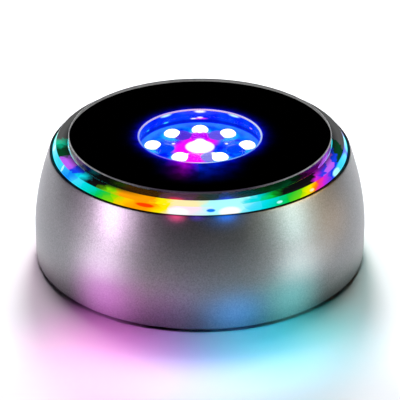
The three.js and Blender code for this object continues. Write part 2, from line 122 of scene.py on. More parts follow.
# ---- node materials -----------------------------------------------------------------------
class Look:
    """A node material. Its methods add nodes and return their output sockets."""

    def __init__(self, name):
        self.material = bpy.data.materials.new(name)
        self.material.use_nodes = True
        self.nodes = self.material.node_tree.nodes
        self.links = self.material.node_tree.links
        self.shader = self.nodes["Principled BSDF"]
        self.place = self.add("ShaderNodeTexCoord").outputs["Object"]
        self.axes = self.add("ShaderNodeSeparateXYZ", {"Vector": self.place}).outputs

    def add(self, kind, inputs=None, **settings):
        node = self.nodes.new(kind)
        for name, value in settings.items():
            setattr(node, name, value)
        for name, value in (inputs or {}).items():
            self.plug(node.inputs[name], value)
        return node

    def plug(self, socket, value):
        """Links a socket to another's output, or gives it a plain value."""
        if isinstance(value, bpy.types.NodeSocket):
            self.links.new(value, socket)
        else:
            socket.default_value = value

    def set(self, **values):
        """Sets the shader's inputs by name, with _ for a space."""
        for name, value in values.items():
            self.plug(self.shader.inputs[name.replace("_", " ")], value)
        return self

    def math(self, operation, a, b=0.0):
        return self.add("ShaderNodeMath", {0: a, 1: b}, operation=operation).outputs[0]

    def length(self, a, b):
        """Length of the flat vector a, b."""
        squares = self.math("ADD", self.math("POWER", a, 2.0), self.math("POWER", b, 2.0))
        return self.math("SQRT", squares)

    def mix(self, factor, a, b, blend="MIX"):
        """Colour a where the factor is 0, b (or a times b) where it is 1."""
        node = self.add("ShaderNodeMix", data_type="RGBA", blend_type=blend)
        self.plug(node.inputs[0], factor)
        self.plug(node.inputs[6], a)
        self.plug(node.inputs[7], b)
        return node.outputs[2]

    def noise(self, scale, detail=2.0, roughness=0.5):
        """Noise of about one blotch per 1/scale metres."""
        inputs = {"Vector": self.place, "Scale": scale, "Detail": detail, "Roughness": roughness}
        return self.add("ShaderNodeTexNoise", inputs).outputs["Fac"]

    def ramp(self, factor, stops):
        """Colour blended between (position, colour) stops, at most 32 of them."""
        node = self.add("ShaderNodeValToRGB", {"Fac": factor})
        elements = node.color_ramp.elements
        elements[0].position, elements[0].color = stops[0]
        elements[1].position, elements[1].color = stops[-1]
        for position, value in stops[1:-1]:
            elements.new(position).color = value
        return node.outputs["Color"]

    def range(self, value, low, high, start=0.0, end=1.0, smooth=False):
        """Maps low..high to start..end and holds the ends."""
        kind = "SMOOTHSTEP" if smooth else "LINEAR"
        inputs = {"Value": value, 1: low, 2: high, 3: start, 4: end}
        return self.add("ShaderNodeMapRange", inputs, interpolation_type=kind).outputs["Result"]

    def bump(self, height, distance, strength=1.0):
        node = self.add("ShaderNodeBump", {"Height": height, "Distance": distance, "Strength": strength})
        self.plug(self.shader.inputs["Normal"], node.outputs["Normal"])
        return self

    def radius(self):
        """Distance from the turning axis, in millimetres."""
        return self.math("DIVIDE", self.length(self.axes["X"], self.axes["Y"]), MM)

    def bearing(self):
        """Angle from the front (-Y) towards +X, in degrees, from -180 to 180."""
        forward = self.math("MULTIPLY", self.axes["Y"], -1.0)
        return self.math("DEGREES", self.math("ARCTAN2", self.axes["X"], forward))

    def back_bearing(self):
        """Angle from the back (+Y) towards +X, in degrees, from -180 to 180."""
        return self.math("DEGREES", self.math("ARCTAN2", self.axes["X"], self.axes["Y"]))

    def height(self):
        """Height over the ground, in millimetres."""
        return self.math("DIVIDE", self.axes["Z"], MM)

    def facets(self, bearing, height, wide, tall, share):
        """Bearing pulled towards the middle of small cut-glass cells, wide degrees by tall mm."""
        across = self.math("DIVIDE", bearing, wide)
        up = self.math("DIVIDE", height, tall)
        radial = self.math("DIVIDE", self.radius(), tall)
        cell = self.add("ShaderNodeCombineXYZ", {"X": across, "Y": up, "Z": radial}).outputs[0]
        middle = self.add("ShaderNodeTexVoronoi", {"Vector": cell, "Scale": 1.0}).outputs["Position"]
        snapped = self.add("ShaderNodeSeparateXYZ", {"Vector": middle}).outputs["X"]
        pull = self.math("MULTIPLY", self.math("SUBTRACT", snapped, across), wide * share)
        return self.math("ADD", bearing, pull)

    def spot(self, bearing, height, middle, level, wide, tall, core=0.6):
        """1 in the core of an oval on an upright wall, round a bearing and height, 0 outside."""
        dx = self.math("DIVIDE", self.math("SUBTRACT", bearing, middle), wide)
        dy = self.math("DIVIDE", self.math("SUBTRACT", height, level), tall)
        return self.range(self.length(dx, dy), 1.0, core, smooth=True)

    def around(self, bearing, stops):
        """Colour by bearing: stops are (degrees, hex colour), from -180 to 180."""
        factor = self.range(bearing, -180.0, 180.0)
        return self.ramp(factor, [((d + 180) / 360, colour(c)) for d, c in stops])

    def near(self, x, y, reach, soft=1.0):
        """1 inside a flat circle at x, y of that reach in millimetres, 0 outside, softly."""
        dx = self.math("SUBTRACT", self.axes["X"], x * MM)
        dy = self.math("SUBTRACT", self.axes["Y"], y * MM)
        return self.range(self.length(dx, dy), reach * MM, (reach - soft) * MM, smooth=True)


# ---- mesh helpers -------------------------------------------------------------------------
def rounded(points, steps=4):
    """Profile of (radius, height, corner radius) points with its corners turned into arcs."""
    result = []
    count = len(points)
    for i, (x, y, corner) in enumerate(points):
        if corner == 0:
            result.append((x, y))
            continue
        here = Vector((x, y))
        before = (Vector(points[i - 1][:2]) - here).normalized()
        after = (Vector(points[(i + 1) % count][:2]) - here).normalized()
        start, end = here + before * corner, here + after * corner
        for step in range(steps + 1):
            t = step / steps
            spot = start * (1 - t) ** 2 + here * 2 * t * (1 - t) + end * t ** 2
            result.append((spot.x, spot.y))
    return result


def revolve(name, profile, facets=ROUND):
    """Closed solid of revolution about Z from a closed profile in millimetres."""
    mesh = bmesh.new()
    rings = []
    for radius, height in profile:
        if radius < 1e-6:
            rings.append([mesh.verts.new((0, 0, height * MM))])
            continue
        ring = []
        for i in range(facets):
            angle = TURN * i / facets
            spot = (radius * math.cos(angle) * MM, radius * math.sin(angle) * MM, height * MM)
            ring.append(mesh.verts.new(spot))
        rings.append(ring)
    for here, there in zip(rings, rings[1:] + rings[:1]):
        for i in range(facets):
            j = (i + 1) % facets
            if len(here) == 1 and len(there) == 1:
                break
            if len(here) == 1:
                mesh.faces.new((here[0], there[j], there[i]))
            elif len(there) == 1:
                mesh.faces.new((here[i], here[j], there[0]))
            else:
                mesh.faces.new((here[i], here[j], there[j], there[i]))
    bmesh.ops.recalc_face_normals(mesh, faces=mesh.faces)
    return finished(name, mesh)


def finished(name, mesh, sharp=35):
    """Object from a bmesh, smooth except across sharp edges."""
    data = bpy.data.meshes.new(name)
    mesh.to_mesh(data)
    mesh.free()
    smooth(data, sharp)
    piece = bpy.data.objects.new(name, data)
    bpy.context.scene.collection.objects.link(piece)
    flatten(piece)
    return piece


def flatten(piece):
    """Keeps shading flat on large faces beside small rounded edges."""
    normals = piece.modifiers.new("normals", "WEIGHTED_NORMAL")
    normals.keep_sharp = True


def smooth(data, sharp):
    """Smooth shading, but for edges sharper than that many degrees."""
    data.polygons.foreach_set("use_smooth", [True] * len(data.polygons))
    data.set_sharp_from_angle(angle=math.radians(sharp))


def carve(piece, cutters, sharp=35):
    """Cuts the cutters out of a piece and removes them."""
    for cutter in cutters:
        hole = piece.modifiers.new("hole", "BOOLEAN")
        hole.object = cutter
        hole.operation = "DIFFERENCE"
        hole.solver = "EXACT"
    graph = bpy.context.evaluated_depsgraph_get()
    data = bpy.data.meshes.new_from_object(piece.evaluated_get(graph))
    piece.modifiers.clear()
    piece.data = data
    smooth(data, sharp)
    flatten(piece)
    for cutter in cutters:
        bpy.data.objects.remove(cutter)


def dress(piece, look, body, slot, *nodes):
    """Gives a new piece its material and body, and puts it in place of CAD nodes; its slot argument is not
    used.
    """
    piece.data.materials.clear()
    piece.data.materials.append(look.material)
    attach(piece, body)
    if nodes:
        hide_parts(*nodes)
    return piece


# ---- materials ----------------------------------------------------------------------------
# Bearings are in degrees from the front (-Y), to the right (+X) positive. Heights and reaches
# are in millimetres. Colours are sRGB hex codes.
GREY, SILVER, INK = "585858", "888888", "080808"
DEEP_GREEN, GREEN, LIME, SEA = "004020", "00c830", "80e000", "00d0a0"
TEAL, CYAN, SKY, PALE_CYAN = "20e0d0", "00e0f0", "40e0ff", "b0ffff"
AZURE, BLUE, NAVY = "0080ff", "1040f0", "002080"
INDIGO, VIOLET, MAGENTA, PLUM = "6020e0", "c060f8", "e020e0", "500050"
CRIMSON, RED, ORANGE, GOLD = "f00040", "ff4000", "ffa000", "ffd000"
YELLOW, CREAM, BLUSH, BRIGHT = "fff000", "fff0b0", "ffe8f8", "ffffff"
# Painted light on the silver paint: the lamps' glow painted round the lip under the ring, and coloured
# reflections painted on the front and sides.
HOUSING_PAINTED_GLOW = [                  # bearing, height, half width, half height, colour
    (-34, 9, 21, 20, "a858a8"), (32, 8, 20, 18, "489090"), (12, 6, 18, 12, "3060a0"),
    (52, 25, 22, 16, "604828"), (-9, LIP_Z, 9, 5, "582048"), (9, LIP_Z, 13, 6, "084078"),
    (-8.5, LIP_Z, 5.5, 2.6, "d84078"), (9.5, LIP_Z, 6.5, 2.8, "0068e0"), (-1, LIP_Z, 5, 2, "402890")]


def silver_look():
    """Satin silver paint: metallic flakes, faint mottling, painted glow of the lamps under the ring, coloured
    reflections painted low on its sides, and painted shade on the lip's top.
    """
    look = Look("silver_paint")
    grain = look.range(look.noise(2300, 2, 0.8), 0.34, 0.66)
    mottle = look.noise(60, 3)
    bearing, height = look.bearing(), look.height()
    shade = look.mix(grain, (0.19, 0.19, 0.198, 1), (0.28, 0.28, 0.286, 1))
    # Painted shade: the lip's top is painted near black for the shaded gap under the ring.
    lip = look.range(height, LIP_Z - 0.16, LIP_Z - 0.04)
    look.set(Base_Color=look.mix(lip, shade, (0.02, 0.02, 0.02, 1)), Metallic=0.95)
    look.set(Roughness=look.range(mottle, 0.3, 0.7, 0.34, 0.4))
    # Painted glow and painted reflections: emission spots by bearing and height.
    glow = BLACK
    for middle, level, wide, tall, tint in HOUSING_PAINTED_GLOW:
        spot = look.spot(bearing, height, middle, level, wide, tall, 0.0)
        glow = look.mix(look.math("POWER", spot, 1.5), glow, colour(tint))
    look.set(Emission_Color=glow, Emission_Strength=1.0)
    return look.bump(grain, 0.00002, 0.3)


def plastic_look(name, low, high, roughness=(0.45, 0.6), grain=2500, depth=0.00003):
    """Moulded plastic: fine spark texture and slight shade variation."""
    look = Look(name)
    spark = look.noise(grain, 3, 0.6)
    cloud = look.noise(90, 3)
    look.set(Base_Color=look.mix(cloud, (*low, 1), (*high, 1)))
    look.set(Roughness=look.range(spark, 0.3, 0.7, *roughness))
    return look.bump(spark, depth, 0.5)


def metal_look(name, low, high):
    """Bare metal with a fine uneven brushing."""
    look = Look(name)
    brushed = look.noise(700, 4, 0.7)
    look.set(Base_Color=look.mix(brushed, (*low, 1), (*high, 1)), Metallic=1.0)
    look.set(Roughness=look.range(brushed, 0.3, 0.7, 0.22, 0.4))
    return look.bump(brushed, 0.00001, 0.4)


# Painted light of the lamps below, in the ring's side wall and ledge, with painted glints and painted spots.
WALL_LIGHT = [                    # bearing, colour; blended from one to the next
    (-180, GREY), (-101, GREY), (-95, TEAL), (-85, SKY), (-77, CYAN), (-70, SKY), (-60, AZURE),
    (-55, SKY), (-50, CYAN), (-44, SEA), (-40, GREEN), (-35, LIME), (-30, GOLD), (-25, ORANGE),
    (-18, ORANGE), (-15, YELLOW), (-12, YELLOW), (-10, BLUSH), (-2, BLUSH), (4, PALE_CYAN),
    (16, PALE_CYAN), (20, SKY), (25, CYAN), (30, SEA), (36, GREEN), (42, LIME), (46, YELLOW),
    (50, RED), (55, MAGENTA), (60, BLUE)]
# Painted glints on the ring's side wall.
RING_PAINTED_GLINTS = [                    # bearing, height, half width, half height, colour
    (73, 35.5, 10, 1.6, SKY), (65, 35.4, 4, 1.1, PALE_CYAN), (90, 35.4, 8, 2, CYAN),
    (-8, 35.4, 5, 1.4, BRIGHT), (11, 35.4, 5, 1.4, BRIGHT), (-21, 36.1, 4.5, 0.6, RED),
    (4, 35.9, 2, 0.5, AZURE), (31, 35.5, 1.5, 0.4, PALE_CYAN), (-67, 35.9, 1, 1.2, PALE_CYAN),
    (-85, 36, 2, 1, PALE_CYAN), (47, 35.4, 1.5, 0.4, CREAM)]
LEDGE_LIGHT = [                   # bearing, colour; blended, with close pairs for sharp changes
    (-90, GREY), (-87, SEA), (-82, DEEP_GREEN), (-74, DEEP_GREEN), (-72, VIOLET), (-65, VIOLET),
    (-63, BLUE), (-59, BLUE), (-57, CYAN), (-53, CYAN), (-50, INK), (-43, INK), (-38, LIME),
    (-32, ORANGE), (-19, ORANGE), (-16, YELLOW), (-12, YELLOW), (-10, CREAM), (-3, CREAM),
    (4, PALE_CYAN), (15, PALE_CYAN), (19, CYAN), (25, SEA), (29, GREEN), (33, INK), (50, INK),
    (52, MAGENTA), (57, INDIGO), (60, BLUE)]
LEDGE_PAINTED_SPOTS = [                   # bearing, half width, colour
    (65, 5, VIOLET), (72, 4, BLUE), (80, 7, DEEP_GREEN)]
# Painted reflections of the ring's colours in the disc's side.
EDGE_LIGHT = [                    # bearing, colour, in the disc's side
    (-180, SILVER), (-70, SILVER), (-58, INK), (-18, INK), (-12, PLUM), (-5, PLUM), (0, INK),
    (5, INK), (11, NAVY), (17, INK), (25, INK), (38, DEEP_GREEN), (48, INK), (55, PLUM),
    (61, PLUM), (66, VIOLET), (71, VIOLET), (78, GREY), (90, SILVER), (180, SILVER)]
EDGE_PAINTED_REFLECTIONS = [                    # bearing, half width, colour, at the disc's lower edge
    (-10, 6, CRIMSON), (-5, 3, PLUM), (11, 6, BLUE)]
# Painted grey light on the back of the ring's wall and ledge.
BACK_WALL, BACK_LEDGE = GREY, GREY
# Painted glow of the lamps on the black print round the window, and its painted bright rim.
WINDOW_PAINTED_GLOW = [                   # bearing, colour, on the print round the window
    (-180, "1010e0"), (-30, "1010e0"), (-20, "8000e0"), (-12, "d000ff"), (-5, "6000f0"),
    (0, "0030ff"), (25, "0010e0"), (180, "1010e0")]
WINDOW_PAINTED_RIM = [                    # bearing, colour, of the window's bright edge
    (-180, "f0c0ff"), (-100, "c0c0ff"), (-60, "4080ff"), (-25, "a060ff"), (-14, "ff90f0"),
    (0, "f0f0ff"), (16, "a0d0ff"), (50, "5090ff"), (100, "d0e0ff"), (180, "f0c0ff")]


def ring_look():
    """Clear ring whose emission paints the lamps' light from below: their colours in its side wall, darker in
    its ledge, with painted glints.
    """
    look = Look("lit_ring")
    bearing, height = look.bearing(), look.height()
    cut = look.facets(bearing, height, 5.0, 2.4, 0.4)
    sway = look.range(look.noise(260, 2), 0.3, 0.7, -2.0, 2.0)
    slant = look.range(height, RING_FLARE_Z, LEDGE_Z, 1.6, -1.6)
    wall = look.around(look.math("ADD", cut, slant), WALL_LIGHT)
    for middle, level, wide, tall, tint in RING_PAINTED_GLINTS:
        wall = look.mix(look.spot(bearing, height, middle, level, wide, tall), wall, colour(tint))
    wall = look.mix(look.range(bearing, 93.0, 101.0), wall, colour(BACK_WALL))
    right = look.range(bearing, 5.0, 45.0)
    lean = look.math("MULTIPLY", look.range(look.radius(), DISC_R, LEDGE_R, -8.0, 3.0), right)
    slid = look.math("ADD", look.math("ADD", cut, sway), lean)
    ledge = look.around(slid, LEDGE_LIGHT)
    for middle, wide, tint in LEDGE_PAINTED_SPOTS:
        far = look.math("ABSOLUTE", look.math("SUBTRACT", slid, middle))
        ledge = look.mix(look.range(far, wide, wide - 1.2), ledge, colour(tint))
    ledge = look.mix(look.range(slid, 85.0, 86.5), ledge, colour(BACK_LEDGE))
    # Painted shade: the ledge's painted light dims to near black beside the disc at the sides.
    side = look.range(look.math("ABSOLUTE", bearing), 22.0, 34.0)
    inner = look.range(look.radius(), DISC_R + 2.2, DISC_R + 0.4, 0.0, 0.75)
    ledge = look.mix(look.math("MULTIPLY", side, inner), ledge, (0.004, 0.004, 0.005, 1))
    on_ledge = look.range(height, LEDGE_Z - 0.18, LEDGE_Z - 0.06)
    light = look.mix(on_ledge, wall, ledge)
    light = look.mix(look.range(height, LIP_Z + 0.1, LIP_Z - 0.05), light, BLACK)
    look.set(Base_Color=(0.002, 0.002, 0.002, 1), Roughness=0.08, IOR=1.49, Specular_IOR_Level=0.1)
    look.set(Emission_Color=light, Emission_Strength=1.0)
    return look


def disc_look():
    """Clear acrylic, with the ring's colours painted into its polished side as painted reflections, darker
    towards its top, and a painted highlight along its top edge.
    """
    look = Look("clear_disc")
    bearing, height = look.bearing(), look.height()
    cut = look.facets(bearing, height, 6.0, 1.1, 0.8)
    sway = look.range(look.noise(260, 3), 0.3, 0.7, -2.0, 2.0)
    side = look.around(look.math("ADD", cut, sway), EDGE_LIGHT)
    streak = look.range(look.noise(420, 2), 0.35, 0.65, 0.55, 1.25)
    # The painted reflections are darker towards the top of the side.
    rise = look.ramp(look.range(height, DISC_Z, TOP_Z), [
        (0.0, WHITE), (0.45, WHITE), (0.62, (0.55, 0.55, 0.55, 1)), (1.0, (0.75, 0.75, 0.75, 1))])
    side = look.mix(1.0, side, rise, "MULTIPLY")
    side = look.mix(1.0, side, look.mix(streak, (0.5, 0.5, 0.5, 1), WHITE), "MULTIPLY")
    for middle, wide, tint in EDGE_PAINTED_REFLECTIONS:
        side = look.mix(look.spot(bearing, height, middle, DISC_Z, wide, 1.7, 0.1), side, colour(tint))
    on_side = look.range(look.radius(), DISC_R - 0.3, DISC_R - 0.12)
    below_top = look.range(height, TOP_Z - 0.12, TOP_Z - 0.3)
    mask = look.math("MULTIPLY", on_side, below_top)
    # Painted highlight: a thin band along the top edge, darker at the front.
    edge = look.math("MULTIPLY", look.range(look.radius(), DISC_R - 0.34, DISC_R - 0.24),
                     look.range(height, TOP_Z - 0.34, TOP_Z - 0.24))
    front = look.range(look.math("ABSOLUTE", bearing), 20.0, 60.0)
    line = look.mix(look.math("MULTIPLY", front, streak), (0.05, 0.04, 0.06, 1), (0.34, 0.34, 0.35, 1))
    light = look.mix(mask, BLACK, side)
    look.set(Base_Color=WHITE, Roughness=0.0, IOR=1.49)
    look.set(Transmission_Weight=1.0, Specular_IOR_Level=0.2)
    look.set(Emission_Color=look.mix(edge, light, line), Emission_Strength=1.0)
    return look


def print_look():
    """Black print with painted light: a painted bright window edge and a painted blue glow of the lamps that
    fades outwards.
    """
    look = Look("window_print")
    radius, bearing = look.radius(), look.bearing()
    streak = look.range(look.noise(300, 3), 0.35, 0.65, 0.45, 1.2)
    front = look.range(look.math("ABSOLUTE", bearing), 42.0, 0.0, smooth=True)
    reach = look.math("ADD", 0.75, look.math("MULTIPLY", front, 3.4))
    out = look.math("DIVIDE", look.math("SUBTRACT", radius, WINDOW_R + 0.5), reach)
    fade = look.math("POWER", 2.718, look.math("MULTIPLY", out, -1.0))
    fade = look.math("MULTIPLY", fade, look.range(radius, 33.0, 24.0, smooth=True))
    glow = look.mix(look.math("MULTIPLY", fade, streak), BLACK, look.around(bearing, WINDOW_PAINTED_GLOW))
    rim_hue = look.around(bearing, WINDOW_PAINTED_RIM)
    rim = look.range(radius, WINDOW_R + 0.55, WINDOW_R + 0.4)
    look.set(Emission_Color=look.mix(rim, glow, rim_hue), Emission_Strength=1.0)
    look.set(Base_Color=(0.001, 0.001, 0.001, 1), Roughness=0.5, Specular_IOR_Level=0.0)
    return look


# Painted light on the well's floor: magenta pools, white glints and glare, and the pips' tints.
PAINTED_MAGENTA_POOLS = [(0, 6.0, 6.8), (-2.5, 0.0, 7.2), (-2.4, -7.5, 5.4)]      # x, y, reach
PAINTED_SPARKS = [(-8.0, 3.6, 0.7), (8.0, 3.6, 0.7), (0, 9.4, 0.9), (0, -10.6, 1.0)]
PAINTED_GLARES = [(0, 1.5, 4.7), (-5.9, -5.2, 2.9), (5.9, -5.2, 2.9)]
PIP_LIGHT_TINTS = ["c000ff", "5030d0", "6050e0", "0040f0", "0040f0", "ff10ff", "8080e0"]


def well_floor_look():
    """Floor of the light well, its emission the painted light of the lamps: blue, painted magenta pools round
    the middle lamp, painted cyan halos, pips tinted by painted light, painted white glints and glare.
    """
    look = Look("well_floor")
    cloud = look.range(look.noise(300, 3), 0.35, 0.65)
    tone = look.mix(cloud, colour("0018f0"), colour("0078fb"))
    outer = look.range(look.radius(), 14.5, 17.6, smooth=True)
    tone = look.mix(look.math("MULTIPLY", outer, 0.6), tone, colour("3c86fb"))
    # Painted cyan halos of light round each lamp.
    for x, y in LAMPS:
        tone = look.mix(look.near(x, y, 4.3, 2.4), tone, colour("08bcfb"))
    for x, y, reach in PAINTED_MAGENTA_POOLS:
        tone = look.mix(look.near(x, y, reach, 3.0), tone, colour("f008fa"))
    for (x, y), tint in zip(PIPS, PIP_LIGHT_TINTS):
        tone = look.mix(look.near(x, y, PIP_R + 0.05, 0.2), tone, colour(tint))
    for x, y, reach in PAINTED_SPARKS:
        tone = look.mix(look.near(x, y, reach, 0.5), tone, WHITE)
    for x, y, reach in PAINTED_GLARES:
        tone = look.mix(look.near(x, y, reach, 0.8), tone, WHITE)
    look.set(Base_Color=(0.0, 0.004, 0.05, 1), Roughness=0.2, Specular_IOR_Level=0.2)
    look.set(Emission_Color=tone, Emission_Strength=1.35)
    return look


def well_wall_look():
    """Plated wall of the well, its emission the painted light of the lamps: deep blue, painted glints along
    its back, painted shade near its foot.
    """
    look = Look("well_wall")
    bearing, height = look.back_bearing(), look.height()
    cloud = look.range(look.noise(260, 2), 0.35, 0.65)
    tone = look.mix(cloud, colour("0010f0"), colour("003cfb"))
    # Painted shade: a dark band near the wall's foot, with a lighter painted band right at the bottom.
    foot = look.ramp(look.range(height, WELL_Z, PRINT_Z[0]), [
        (0.0, (0.2, 0.5, 1, 1)), (0.08, (0.1, 0.2, 0.6, 1)), (0.2, (0.3, 0.3, 0.6, 1)),
        (0.34, WHITE), (1.0, WHITE)])
    tone = look.mix(1.0, tone, foot, "MULTIPLY")
    low, high = WELL_Z + 1.3, PRINT_Z[0] - 0.5
    # Painted glints of the lamps on the wall.
    glints = [(0, high, 7, 0.7, "ffffff"), (34, high, 8, 0.6, "c0fcff"), (-34, high, 8, 0.6, "c0fcff"),
              (0, low, 9, 0.35, "f040fa"), (-6, low, 4, 0.3, "fff0ff"), (0, low + 0.3, 4, 0.4, "fff0ff"),
              (-34, low, 4, 0.35, "30c8f8"), (-58, low, 3, 0.3, "20c0e0"),
              (56, low + 0.5, 3, 0.3, "c090f0")]
    for middle, level, wide, tall, tint in glints:
        tone = look.mix(look.spot(bearing, height, middle, level, wide, tall, 0.3), tone, colour(tint))
    look.set(Base_Color=(0.0, 0.01, 0.1, 1), Metallic=0.5, Roughness=0.15)
    look.set(Emission_Color=tone, Emission_Strength=1.3)
    return look


def lamp_look():
    """Lit lamp: white tip, blue neck, but nearly white on the middle one."""
    look = Look("lit_lamp")
    ripple = look.noise(900, 2)
    tone = look.mix(ripple, (0.95, 1.0, 1.0, 1), WHITE)
    tip = look.range(look.height(), WELL_Z + LED_NECK - 0.2, WELL_Z + LED_NECK + 0.1)
    middle = look.near(*MIDDLE_LAMP, 4.0)
    neck = look.mix(middle, (0.0, 0.17, 0.48, 1), (1.0, 0.85, 1.0, 1))
    tone = look.mix(tip, neck, tone)
    look.set(Base_Color=(0.3, 0.35, 0.4, 1), Roughness=0.3)
    look.set(Emission_Color=tone, Emission_Strength=2.0)
    return look


# ---- pieces -------------------------------------------------------------------------------
def shoulder(z):
    """Radius of the housing at a height."""
    rise = max(0.0, (z - BODY_WIDEST_Z) / (LIP_Z - BODY_WIDEST_Z))
    return BODY_R - (BODY_R - LIP_R) * rise ** SHOULDER_POWER


def turned_x(name, radius, start, end, angle, facets=48):
    """Cylinder lying along a bearing about Z, between two radii, at the controls' height."""
    tool = revolve(name, [(0, start), (radius, start), (radius, end), (0, end)], facets)
    tool.rotation_euler = (0, math.pi / 2, math.radians(angle))
    tool.location.z = CONTROL_Z * MM
    return tool


def slot_tool(width, height, start, end, angle):
    """Box lying along a bearing about Z, between two radii, at the controls' height."""
    mesh = bmesh.new()
    bmesh.ops.create_cube(mesh, size=1)
    bmesh.ops.scale(mesh, vec=((end - start) * MM, width * MM, height * MM), verts=mesh.verts)
    bmesh.ops.translate(mesh, vec=((start + end) / 2 * MM, 0, CONTROL_Z * MM), verts=mesh.verts)
    tool = finished("slot_tool", mesh)
    tool.rotation_euler.z = math.radians(angle)
    return tool


def housing():
    """Silver shell with a rolled foot, a rounded lip and the openings for the controls."""
    steps = 26
    bottom, top = BODY_WIDEST_Z - 2, LIP_Z - 0.35
    foot = [(BODY_R - WALL, BODY_Z), (BODY_R - 0.4, BODY_Z), (BODY_R - 0.2, BODY_Z + 0.05),
            (BODY_R - 0.08, BODY_Z + 0.2), (BODY_R - 0.03, BODY_Z + 0.6), (BODY_R, BODY_Z + 4)]
    heights = [bottom + (top - bottom) * step / steps for step in range(steps + 1)]
    outer = [(shoulder(z), z) for z in heights]
    lip = [(LIP_R - 0.04, LIP_Z - 0.12), (LIP_R - 0.16, LIP_Z - 0.02), (LIP_R - 0.3, LIP_Z),
           (LIP_IN_R, LIP_Z - 0.12), (LIP_IN_R, SKIRT_Z)]
    inner = [(shoulder(z) - WALL, z) for z in (26, 20, 14, 10)]
    shell = revolve("silver_shell", foot + outer + lip + inner)
    bpy.context.view_layer.update()
    carve(shell, [turned_x("inlet_tool", JACK_HOLE_R, *CONTROL_CUT, JACK_ANGLE),
                  slot_tool(*SWITCH_HOLE, *CONTROL_CUT, SWITCH_ANGLE)])
    return dress(shell, silver_look(), "base", "silver_housing", "housing_shell")


def clear_pieces():
    """Clear disc, the lit ring below it and the black print under the disc."""
    disc = revolve("clear_top", rounded([
        (0, DISC_Z, 0), (DISC_R, DISC_Z, 0.15), (DISC_R, TOP_Z, 0.32), (0, TOP_Z, 0)]))
    dress(disc, disc_look(), "turntable", "clear_acrylic", "clear_disc")
    step_r, step_z = DISC_R + 0.2, PRINT_Z[0] - 0.05
    ring = revolve("lit_ring", rounded([
        (RING_IN_R, RING_Z, 0), (RING_R, RING_Z, 0.25), (RING_R, RING_FLARE_Z, 0.25),
        (LEDGE_R, LEDGE_Z, 0.22), (step_r, LEDGE_Z, 0), (step_r, step_z, 0), (RING_IN_R, step_z, 0)]))
    dress(ring, ring_look(), "turntable", "clear_acrylic", "clear_ring")
    film_r, film_z = DISC_R - FILM_INSET, DISC_Z + FILM_RISE
    film = revolve("window_print", [
        (WINDOW_R, PRINT_Z[0]), (film_r, PRINT_Z[0]), (film_r, film_z), (WINDOW_R, film_z)])
    dress(film, print_look(), "turntable", "black_print", "black_print")


def well():
    """Upright wall, floor and lamps of the light well."""
    low, high = TOWER_Z
    tower = revolve("well_wall", [
        (WELL_R, low), (TOWER_R, low), (TOWER_R, high), (WELL_R, high)], 128)
    dress(tower, well_wall_look(), "base", "reflector", "led_tower")
    dress(well_floor(), well_floor_look(), "base", "reflector", "reflector_plate")
    shine = lamp_look()
    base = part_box("well_led_1")[0].z / MM
    neck = WELL_Z + LED_NECK
    out, up = LED_FLANGE
    dome = [(LED_R * math.cos(math.radians(a)), neck + LED_RISE * math.sin(math.radians(a)))
            for a in range(0, 90, 10)]
    foot = [(0, base), (LED_R + out, base), (LED_R + out, base + up), (LED_R, base + up)]
    for i, (x, y) in enumerate(LAMPS):
        lamp = revolve(f"lamp_{i + 1}", [*foot, *dome, (0, neck + LED_RISE)], 40)
        lamp.data.transform(Matrix.Translation((x * MM, y * MM, 0)))
        dress(lamp, shine, "base", "lamp", f"well_led_{i + 1}")


def well_floor():
    """Round plate whose top swells into low pips beside the lamps."""
    mesh = bmesh.new()
    rings, facets = 60, 120
    edge = WELL_R - PLATE_GAP
    centre = mesh.verts.new((0, 0, pip_height(0, 0) * MM))
    last = None
    for k in range(1, rings + 1):
        radius = edge * k / rings
        here = []
        for i in range(facets):
            x, y = radius * math.cos(TURN * i / facets), radius * math.sin(TURN * i / facets)
            here.append(mesh.verts.new((x * MM, y * MM, pip_height(x, y) * MM)))
        for i in range(facets):
            j = (i + 1) % facets
            if last is None:
                mesh.faces.new((centre, here[i], here[j]))
            else:
                mesh.faces.new((last[i], here[i], here[j], last[j]))
        last = here
    under = [mesh.verts.new((v.co.x, v.co.y, (WELL_Z - PLATE) * MM)) for v in last]
    for i in range(facets):
        j = (i + 1) % facets
        mesh.faces.new((last[i], under[i], under[j], last[j]))
    mesh.faces.new(list(reversed(under)))
    bmesh.ops.recalc_face_normals(mesh, faces=mesh.faces)
    return finished("well_floor", mesh, 50)


def pip_height(x, y):
    """Height of the well's floor at x, y."""
    height = WELL_Z
    for px, py in PIPS:
        share = ((x - px) ** 2 + (y - py) ** 2) / PIP_R ** 2
        if share < 1:
            height = max(height, WELL_Z + PIP_H * math.sqrt(1 - share))
    return height


# ---- carried-over CAD nodes ---------------------------------------------------------------
BEVEL = 0.12
WELD_DISTANCE = 0.000002          # metres


def soften(node, bevel=BEVEL):
    """Welds, bevels and smooths a CAD node with modifiers. Its mesh stays as it is."""
    piece = frame["nodes"][node]
    piece.data.polygons.foreach_set("use_smooth", [True] * len(piece.data.polygons))
    weld = piece.modifiers.new("weld", "WELD")
    weld.merge_threshold = WELD_DISTANCE
    if bevel:
        edge = piece.modifiers.new("bevel", "BEVEL")
        edge.width = bevel * MM
        edge.segments = 2
        edge.limit_method = "ANGLE"
        edge.angle_limit = math.radians(40)
    split = piece.modifiers.new("split", "EDGE_SPLIT")
    split.split_angle = math.radians(35)
    flatten(piece)
    return piece


